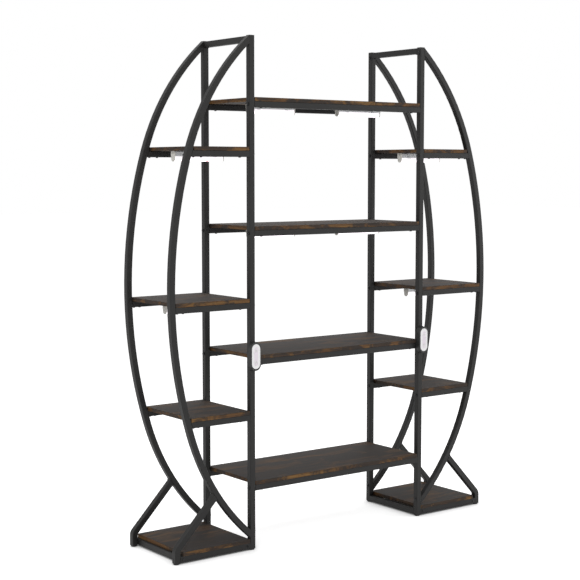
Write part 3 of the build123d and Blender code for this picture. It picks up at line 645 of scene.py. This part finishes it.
def cut_cross_recess(head, width, slot, depth):
    """Cuts a cross recess into the top of a screw head, at the origin, with two tapered blades."""
    blades = []
    for turn in (0, pi / 2):
        start_clean()
        bpy.ops.mesh.primitive_cube_add(size=1, rotation=(0, 0, turn))
        blade = bpy.context.object
        blade.scale = (width, slot, 2 * depth)
        bpy.ops.object.mode_set(mode="EDIT")
        select_faces(blade, lambda face: face.normal.z < -0.5)
        tip_width, tip_slot = 0.45, 0.6  # the tip's shares of the blade's size
        bpy.ops.transform.resize(value=(tip_width, tip_slot, 1))
        bpy.ops.object.mode_set(mode="OBJECT")
        settle(blade, "recess_blade")
        blades.append(blade)
    for blade in blades:
        start_clean()
        head.select_set(True)
        bpy.context.view_layer.objects.active = head
        cut = head.modifiers.new("recess", "BOOLEAN")
        cut.operation = "DIFFERENCE"
        cut.solver = "EXACT"
        cut.object = blade
        bpy.ops.object.modifier_apply(modifier=cut.name)
        discard(blade)
    return head


def pan_screw_model(length):
    """M4 pan-head screw, top of its head at the origin and its shank below."""
    shank = [(1.4, -length), (2.0, -length + 1.2), (2.0, -2.2)]
    head = [(3.8, -2.2), (3.8, -0.9), (3.45, -0.35), (2.7, 0.0)]
    screw = turned_piece("pan_screw", 0, 0, [(r * MM, z * MM) for r, z in shank + head], sides=20)
    return cut_cross_recess(screw, width=3.9 * MM, slot=0.95 * MM, depth=1.4 * MM)


def clip_screw_model(length):
    """M3 countersunk screw, flush at the origin with its shank below."""
    rings = [(1.1, -length), (1.5, -length + 1), (1.5, -1.1), (2.8, 0.0)]
    screw = turned_piece("clip_screw", 0, 0, [(r * MM, z * MM) for r, z in rings], sides=18)
    return cut_cross_recess(screw, width=2.9 * MM, slot=0.75 * MM, depth=0.9 * MM)


def dress_screws(oxide, zinc):
    """Cross-head screws, each set with the lengths that its CAD node has."""
    for node, steel, slot in (
        ("board_screws", oxide, "black_screw_steel"),
        ("frame_screws", oxide, "black_screw_steel"),
        ("light_clip_screws", zinc, "zinc_plated_steel"),
    ):
        for length, places in screw_places(node).items():
            model = clip_screw_model(length) if node == "light_clip_screws" else pan_screw_model(length)
            piece = copies(model, f"{node}_{round(length)}_mm", places, steel)
            discard(model)
            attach(piece, "frame")
            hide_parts(node)


# Feet

def dress_feet(rubber, zinc):
    """Rubber pad with a grooved tread and a rounded rim, on a threaded zinc stud. The lists hold the radius
    and the height above the floor of each ring, in mm."""
    tread = [
        (1.2, 0.45), (2.6, 0.45), (2.75, 0.0), (4.1, 0.0), (4.25, 0.5), (5.1, 0.5), (5.25, 0.0), (6.8, 0.0),
    ]
    side = [(7.9, 0.25), (8.8, 0.8), (9.3, 1.5), (9.5, 2.4), (9.5, 3.5), (9.2, 3.8), (3.1, 3.8), (3.0, 3.5)]
    thread_start, thread_end, thread_pitch = 3.2, 19.6, 1.0
    root, crest = 2.55, 2.98
    # Each turn goes out from the root to the crest, along it and back in; the stud's end is chamfered.
    thread = []
    height = thread_start
    while height < thread_end:
        thread += [(root, height), (crest, height + 0.35), (crest, height + 0.5), (root, height + 0.85)]
        height += thread_pitch
    thread += [(root, 20.2), (2.1, 20.7)]
    for name in [n for n in NODES if n.startswith("foot_inner") or n.startswith("foot_outer")]:
        low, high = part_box(name)
        x, y, z = (low[0] + high[0]) / 2, (low[1] + high[1]) / 2, low[2]
        place = name.removeprefix("foot_")
        pad_rings, stud_rings = ([(r * MM, z + h * MM) for r, h in rings] for rings in (tread + side, thread))
        pad = turned_piece(f"rubber_pad_{place}", x, y, pad_rings, sides=48)
        stud = turned_piece(f"foot_stud_{place}", x, y, stud_rings, sides=24)
        pad.data.materials.append(rubber)
        stud.data.materials.append(zinc)
        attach(pad, name)
        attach(stud, name)
        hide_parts(name)


# Lights

def diffuser_model(size):
    """Round-bottomed hollow cover, open above and at its ends, about the middle of its box. Its two lower
    edges are bevelled by just under its radius, so that the two rounds don't meet."""
    just_under = 0.05 * MM
    start_clean()
    bpy.ops.mesh.primitive_cube_add(size=1)
    cover = bpy.context.object
    cover.scale = (size.x, 2 * DIFFUSER_RADIUS, size.z)
    bpy.ops.object.transform_apply(scale=True)
    bpy.ops.object.mode_set(mode="EDIT")
    select_faces(cover, lambda face: face.normal.z > 0.5 or abs(face.normal.x) > 0.5)
    bpy.ops.mesh.delete(type="FACE")
    bpy.ops.mesh.select_mode(type="EDGE")
    bpy.ops.mesh.select_all(action="DESELECT")
    mesh = bmesh.from_edit_mesh(cover.data)
    for edge in mesh.edges:
        first, last = edge.verts
        edge.select_set(max(first.co.z, last.co.z) < 0 and abs(first.co.x - last.co.x) > size.x / 2)
    bmesh.update_edit_mesh(cover.data)
    bpy.ops.mesh.bevel(offset=DIFFUSER_RADIUS - just_under, segments=10)
    bpy.ops.object.mode_set(mode="OBJECT")
    wall = cover.modifiers.new("wall", "SOLIDIFY")
    wall.thickness = DIFFUSER_WALL
    wall.offset = -1
    bpy.ops.object.modifier_apply(modifier=wall.name)
    return cover


def dress_diffusers():
    """Milky cover under each light bar, glowing at its sides too. Each of its corners keeps its place in
    mm: along the row of LEDs, across it, and up from the cover's bottom."""
    boxes = [corner_box(points) for points in loose_parts("light_diffusers")]
    size = boxes[0][1] - boxes[0][0]
    cover = diffuser_model(size)
    pitch = (size.x - 2 * LED_END_ROOM) / LEDS_PER_BAR / MM
    place_of = cover.data.attributes.new("strip_place", "FLOAT_VECTOR", "POINT")
    for index, vertex in enumerate(cover.data.vertices):
        along = vertex.co.x / MM + LEDS_PER_BAR / 2 * pitch
        place_of.data[index].vector = (along, vertex.co.y / MM, (vertex.co.z + size.z / 2) / MM)
    settle(cover, "diffuser_model")
    middles = [Matrix.Translation((low + high) / 2) for low, high in boxes]
    piece = copies(cover, "lit_diffusers", middles, lit_diffuser(pitch))
    discard(cover)
    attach(piece, "frame")
    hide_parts("light_diffusers")


# Buttons

def button_model():
    """Key cap with a rounded rim round a shallow dish, and a flange behind, facing up at the origin."""
    rings = [
        (5.9, -5.4), (5.9, -4.4), (4.6, -4.4), (4.6, -0.4), (4.5, -0.15), (4.25, 0.0), (3.8, 0.0),
        (3.6, -0.1), (3.4, -0.2), (1.5, -0.2),
    ]
    return turned_piece("button_model", 0, 0, [(r * MM, z * MM) for r, z in rings], sides=48)


def mark_model(strokes):
    """Printed ring with strokes in it, from place to place in mm, a hair above the floor of the dish."""
    ring_radius, flatness, depth = 2.1 * MM, 0.4, 0.14 * MM
    end_inset, end_rise = 0.06 * MM, 0.05 * MM
    start_clean()
    bpy.ops.mesh.primitive_torus_add(
        major_radius=ring_radius, minor_radius=MARK_RADIUS, major_segments=40, minor_segments=8,
    )
    ring = bpy.context.object
    drawn = [ring]
    for start, end in strokes:
        start_clean()
        first, last = Vector((*start, 0)) * MM, Vector((*end, 0)) * MM
        bpy.ops.mesh.primitive_cylinder_add(
            vertices=10, radius=MARK_RADIUS, depth=(last - first).length, location=(first + last) / 2,
            rotation=(last - first).to_track_quat("Z", "Y").to_euler(),
        )
        stroke = bpy.context.object
        bpy.ops.object.mode_set(mode="EDIT")
        select_faces(stroke, lambda face: len(face.verts) > 4)
        bpy.ops.mesh.inset(thickness=end_inset, depth=end_rise)
        bpy.ops.object.mode_set(mode="OBJECT")
        drawn.append(settle(stroke, "stroke"))
    start_clean()
    for stroke in drawn:
        stroke.select_set(True)
    bpy.context.view_layer.objects.active = ring
    bpy.ops.object.join()
    ring.scale = (1, 1, flatness)
    ring.location = (0, 0, -depth)
    return settle(ring, "mark_model")


def dress_buttons():
    """Dished push buttons with a generic power or clock mark; the strokes run from place to place in mm."""
    ink, key = printed_mark(), button_plastic()
    button = button_model()
    drawings = {
        "power": [((0, 0.6), (0, 2.6))],
        "timer": [((0, 0), (0, 1.3)), ((0, 0), (0.9, -0.5))],
    }
    for kind, strokes in drawings.items():
        mark = mark_model(strokes)
        for side in ("left", "right"):
            body = f"{kind}_button_{side}"
            low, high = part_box(body)
            middle = Vector(((low[0] + high[0]) / 2, low[1], (low[2] + high[2]) / 2))
            place = Matrix.Translation(middle) @ Matrix.Rotation(pi / 2, 4, "X")
            cap = copies(button, f"{kind}_key_{side}", [place], key)
            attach(cap, body)
            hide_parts(body)
            print_on = copies(mark, f"{kind}_mark_{side}", [place], ink)
            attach(print_on, body)
        discard(mark)
    discard(button)


# Stage, lights and camera

def background_rays(tree):
    """Socket that is 1 for rays that show the background: straight, mirrored in metal or through glass."""
    path = add(tree, "ShaderNodeLightPath")
    seen = path.outputs["Is Camera Ray"]
    for kind in ("Is Glossy Ray", "Is Transmission Ray"):
        seen = add(
            tree, "ShaderNodeMath", [(0, seen), (1, path.outputs[kind])], operation="MAXIMUM",
        ).outputs[0]
    return seen


def build_stage():
    """Plain pale floor that goes over into a white surround and keeps the stand's shadow, with painted shade
    added close round the stand by ambient occlusion.
    """
    start_clean()
    bpy.ops.mesh.primitive_plane_add(size=FLOOR_SIZE)
    floor = bpy.context.object
    floor.name = "studio_floor"
    material = bpy.data.materials.new("studio_floor")
    material.use_nodes = True
    tree = material.node_tree
    tree.nodes.clear()
    matt = add(tree, "ShaderNodeBsdfDiffuse", [("Color", linear("#f0f0f0"))])
    # Under the low boards and beside the feet the lift fades by ambient occlusion: painted shade, over the
    # floor's real shadow there.
    painted_floor_shade = add(tree, "ShaderNodeAmbientOcclusion", [("Distance", FLOOR_SHADE)], samples=8)
    shaded_lift = add(
        tree, "ShaderNodeMath", [(0, painted_floor_shade.outputs["AO"]), (1, FLOOR_LIFT)], operation="MULTIPLY",
    )
    lift = add(
        tree, "ShaderNodeMath", [(0, background_rays(tree)), (1, shaded_lift.outputs[0])], operation="MULTIPLY",
    )
    white = add(tree, "ShaderNodeEmission", [("Color", linear("#ffffff")), ("Strength", lift.outputs[0])])
    both = add(tree, "ShaderNodeAddShader", [(0, matt.outputs[0]), (1, white.outputs[0])])
    add(tree, "ShaderNodeOutputMaterial", [("Surface", both.outputs[0])])
    floor.data.materials.append(material)

    world = bpy.data.worlds.new("studio")
    bpy.context.scene.world = world
    world.use_nodes = True
    tree = world.node_tree
    tree.nodes.clear()
    strength = add(
        tree, "ShaderNodeMapRange",
        [("Value", background_rays(tree)), ("To Min", SKY_LIGHT), ("To Max", SKY_SEEN)],
    )
    sky = add(tree, "ShaderNodeBackground", [("Color", linear("#ffffff")), ("Strength", strength.outputs[0])])
    add(tree, "ShaderNodeOutputWorld", [("Surface", sky.outputs[0])])


def area_light(name, place, target, size, power):
    """Rectangular lamp of this size in metres and power in watts, turned towards its target."""
    data = bpy.data.lights.new(name, "AREA")
    data.shape = "RECTANGLE"
    data.size, data.size_y = size
    data.energy = power
    lamp = bpy.data.objects.new(name, data)
    bpy.context.scene.collection.objects.link(lamp)
    lamp.location = place
    lamp.rotation_euler = (Vector(target) - Vector(place)).to_track_quat("-Z", "Y").to_euler()


def build_lights():
    """Soft studio light: from the front left, weaker from the front right, and from above."""
    middle = (0, 0, 0.8)
    area_light("soft_key", (-3.2, -3.6, 3.4), middle, (2.6, 2.6), 90)
    area_light("soft_fill", (3.8, -2.6, 2.0), middle, (2.4, 2.4), 40)
    area_light("top_light", (0.3, 0.6, 4.2), middle, (3.0, 2.0), 60)


def build_camera():
    """Camera at the photograph's viewpoint: 37 degrees round to the left, looking slightly down."""
    data = bpy.data.cameras.new("camera")
    data.sensor_width = CAMERA_SENSOR
    data.lens = CAMERA_LENS
    camera = bpy.data.objects.new("camera", data)
    bpy.context.scene.collection.objects.link(camera)
    camera.location = CAMERA_PLACE
    camera.rotation_euler = (radians(90 - CAMERA_DOWN), 0, radians(CAMERA_ROUND))
    bpy.context.scene.camera = camera


def build_scene():
    """Dresses the stand, then sets up the studio round it."""
    bpy.context.scene.view_settings.view_transform = "Standard"
    oxide, zinc, rubber = black_oxide(), zinc_plate(), rubber_pad()
    dress_cad_nodes(oxide, zinc, rubber)
    dress_screws(oxide, zinc)
    dress_feet(rubber, zinc)
    dress_diffusers()
    dress_buttons()
    build_stage()
    build_lights()
    build_camera()


build_scene()
